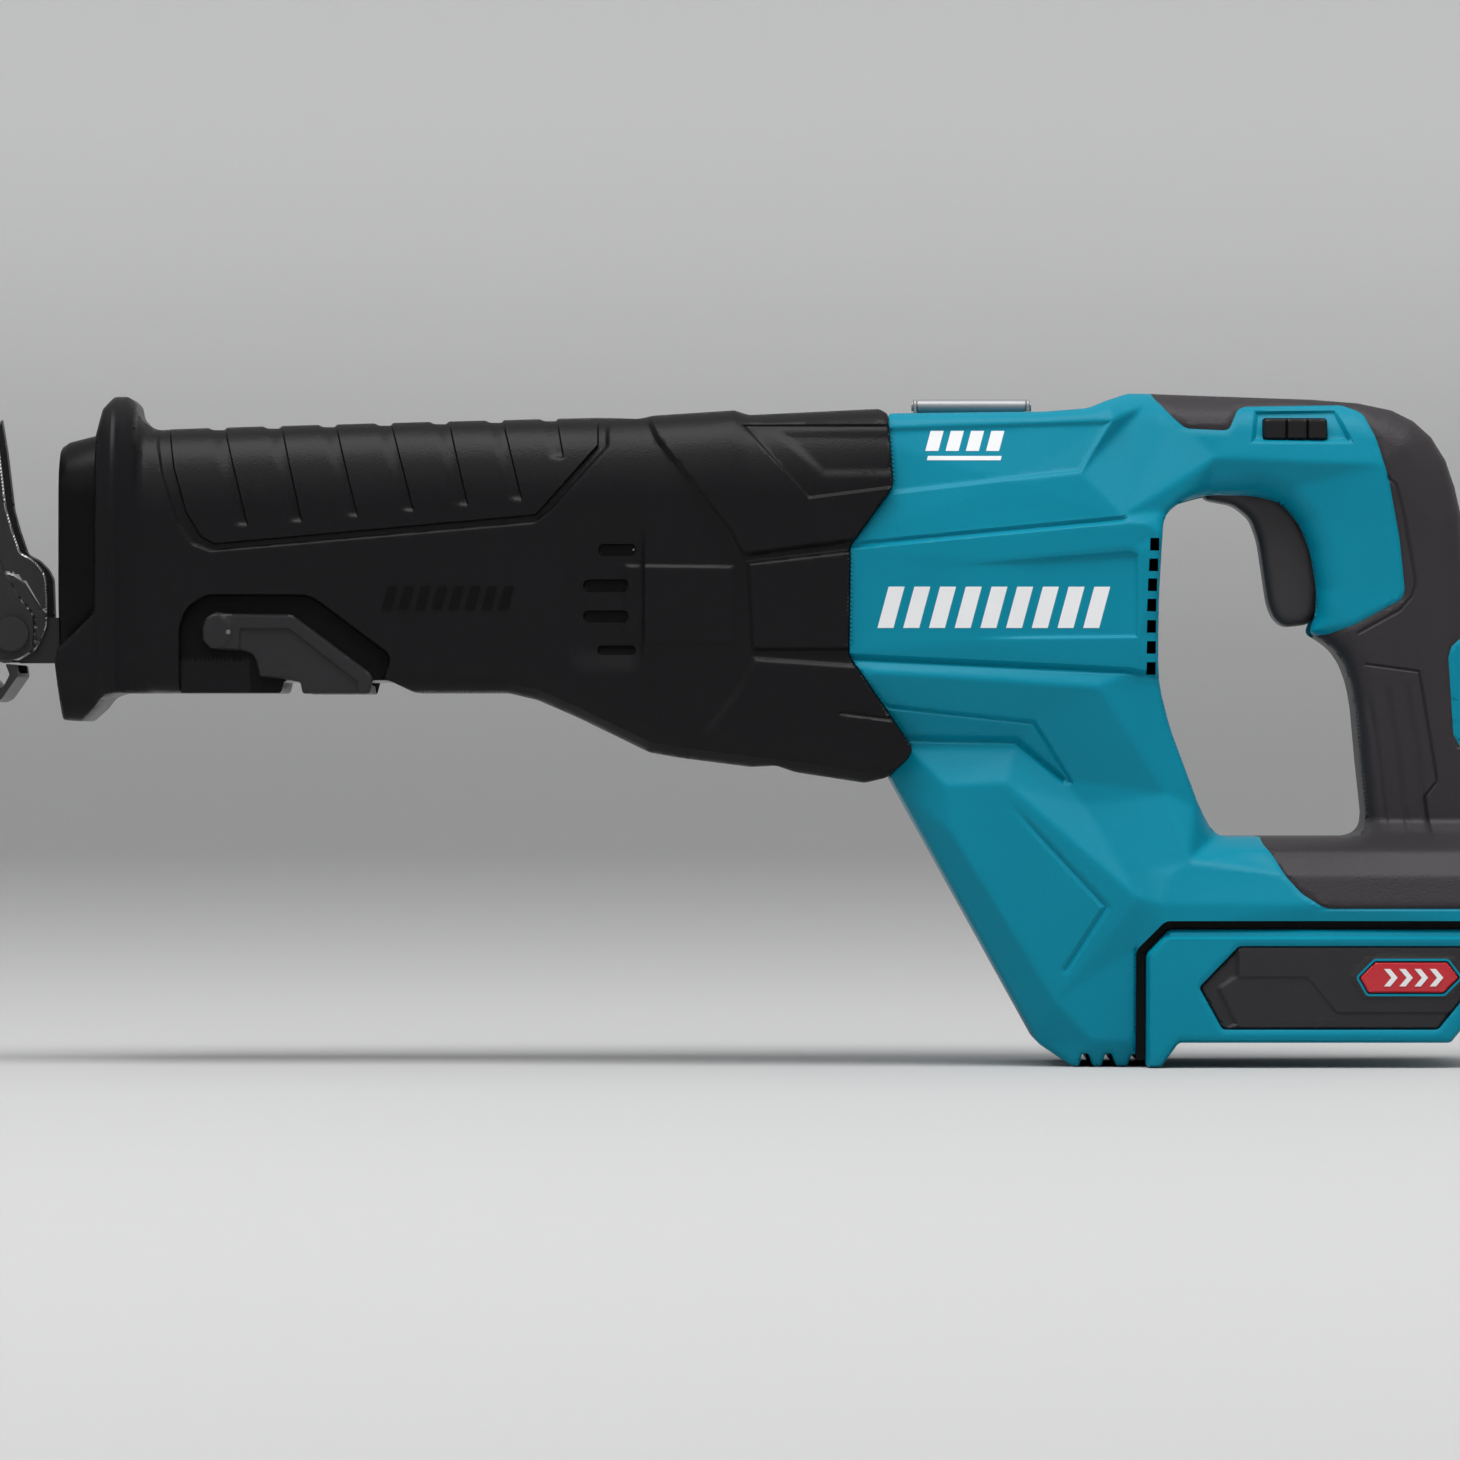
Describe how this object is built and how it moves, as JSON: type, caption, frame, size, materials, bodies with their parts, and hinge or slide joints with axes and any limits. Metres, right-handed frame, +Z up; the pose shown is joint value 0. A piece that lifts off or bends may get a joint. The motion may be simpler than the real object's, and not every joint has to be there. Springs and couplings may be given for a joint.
{
  "type": "cordless reciprocating saw",
  "caption": "Cordless reciprocating saw body with rubber front boot, D-shaped rear grip, battery cradle, tilting shoe and reciprocating blade clamp.",
  "frame": {"origin": "middle of the tool's length and width, level with the feet it stands on", "axes": "+X from the nose back to the rear grip, along the stroke line; +Z up; +Y to the tool's right-hand side as seen from the rear, facing the nose"},
  "size_m": [0.4368, 0.084, 0.187],
  "materials": {
    "teal_shell": "fine satin moulding",
    "black_boot": "satin, slightly glossy on edges",
    "grip_rubber": "matte fine texture",
    "black_plastic": "satin",
    "red_badge": "gloss",
    "dark_steel": "black satin coating with bright worn edges",
    "bright_steel": "brushed",
    "cast_alloy": "as cast",
    "copper": "enamelled wire",
    "laminated_steel": "oiled laminations",
    "sintered_bronze": "sintered",
    "green_board": "solder mask",
    "lamp_clear": "clear lens",
    "white_nylon": "moulded"
  },
  "bodies": {
    "body": {"badge_left": "red_badge", "badge_right": "red_badge", "control_unit": "black_plastic", "cradle_inlay_left": "black_plastic", "cradle_inlay_right": "black_plastic", "cradle_left": "teal_shell", "cradle_right": "teal_shell", "cradle_seal": "black_boot", "crank_bearing_lower": "bright_steel", "crank_bearing_upper": "bright_steel", "front_boot": "black_boot", "gear_case": "cast_alloy", "gear_case_cover": "cast_alloy", "grip_rubber_left": "grip_rubber", "grip_rubber_right": "grip_rubber", "heat_sink": "cast_alloy", "hook_bracket": "black_plastic", "hook_pin": "bright_steel", "housing_left": "teal_shell", "housing_right": "teal_shell", "housing_screws": "dark_steel", "lamp_lens": "lamp_clear", "lever_pins": "bright_steel", "motor_bearing_front": "bright_steel", "motor_bearing_rear": "bright_steel", "motor_stator": "laminated_steel", "motor_windings": "copper", "nose_collar": "black_plastic", "nose_seal": "black_boot", "sensor_board": "green_board", "stroke_bush_front": "sintered_bronze", "stroke_bush_rear": "sintered_bronze", "switch_module": "black_plastic", "terminal_blades": "copper", "terminal_block": "black_plastic", "trigger_pin": "bright_steel"},
    "stroke": {"stroke_shaft": "bright_steel", "blade_clamp": "laminated_steel", "blade_pin": "bright_steel", "clamp_ring": "laminated_steel"},
    "sleeve": {"clamp_sleeve": "dark_steel"},
    "roller": {"yoke_roller": "bright_steel"},
    "balance": {"counterweight": "laminated_steel"},
    "crank": {"crank_gear": "laminated_steel", "crank_pin": "bright_steel"},
    "rotor": {"motor_rotor": "laminated_steel", "motor_shaft": "bright_steel", "motor_pinion": "bright_steel", "motor_fan": "white_nylon"},
    "trigger": {"trigger": "black_plastic"},
    "lock": {"lock_button": "black_plastic"},
    "carriage": {"shoe_bars": "dark_steel", "shoe_pin": "dark_steel"},
    "shoe": {"shoe_plate": "dark_steel"},
    "lever": {"shoe_lock_lever": "black_plastic"},
    "hook": {"hang_hook": "bright_steel"}
  },
  "joints": [
    {"name": "blade_stroke", "type": "slide", "parent": "body", "child": "stroke", "axis": [1, 0, 0], "range_m": [-0.016, 0.016]},
    {"name": "clamp_twist", "type": "hinge", "parent": "stroke", "child": "sleeve", "pos_m": [-0.156, 0, 0.145], "axis": [1, 0, 0], "range_deg": [0, 45], "stiffness_Nm_per_rad": 0.05},
    {"name": "roller_travel", "type": "slide", "parent": "stroke", "child": "roller", "axis": [0, 1, 0], "range_m": [-0.032, 0]},
    {"name": "balance_travel", "type": "slide", "parent": "body", "child": "balance", "axis": [1, 0, 0], "range_m": [-0.008, 0.008]},
    {"name": "crank_spin", "type": "hinge", "parent": "body", "child": "crank", "pos_m": [-0.004, 0, 0.1], "axis": [0, 0, 1], "continuous": true},
    {"name": "rotor_spin", "type": "hinge", "parent": "body", "child": "rotor", "pos_m": [0.07, 0, 0.1285], "axis": [1, 0, 0], "continuous": true},
    {"name": "trigger_pull", "type": "hinge", "parent": "body", "child": "trigger", "pos_m": [0.141, 0, 0.1625], "axis": [0, -1, 0], "range_deg": [0, 8], "stiffness_Nm_per_rad": 0.6, "springref_deg": -5.73},
    {"name": "lock_travel", "type": "slide", "parent": "body", "child": "lock", "axis": [0, 1, 0], "range_m": [0, 0.004]},
    {"name": "shoe_reach", "type": "slide", "parent": "body", "child": "carriage", "axis": [-1, 0, 0], "range_m": [0, 0.03]},
    {"name": "shoe_tilt", "type": "hinge", "parent": "carriage", "child": "shoe", "pos_m": [-0.197, 0, 0.12], "axis": [0, 1, 0], "range_deg": [-30, 12]},
    {"name": "shoe_lever", "type": "hinge", "parent": "body", "child": "lever", "pos_m": [-0.138, 0, 0.1205], "axis": [0, 1, 0], "range_deg": [0, 70]},
    {"name": "hook_swing", "type": "hinge", "parent": "body", "child": "hook", "pos_m": [0.07, 0.006, 0.184], "axis": [1, 0, 0], "range_deg": [0, 100]}
  ],
  "couplings": [
    {"joint": "balance_travel", "follows": "blade_stroke", "ratio": -0.5},
    {"joint": "rotor_spin", "follows": "crank_spin", "ratio": 4.6667}
  ]
}
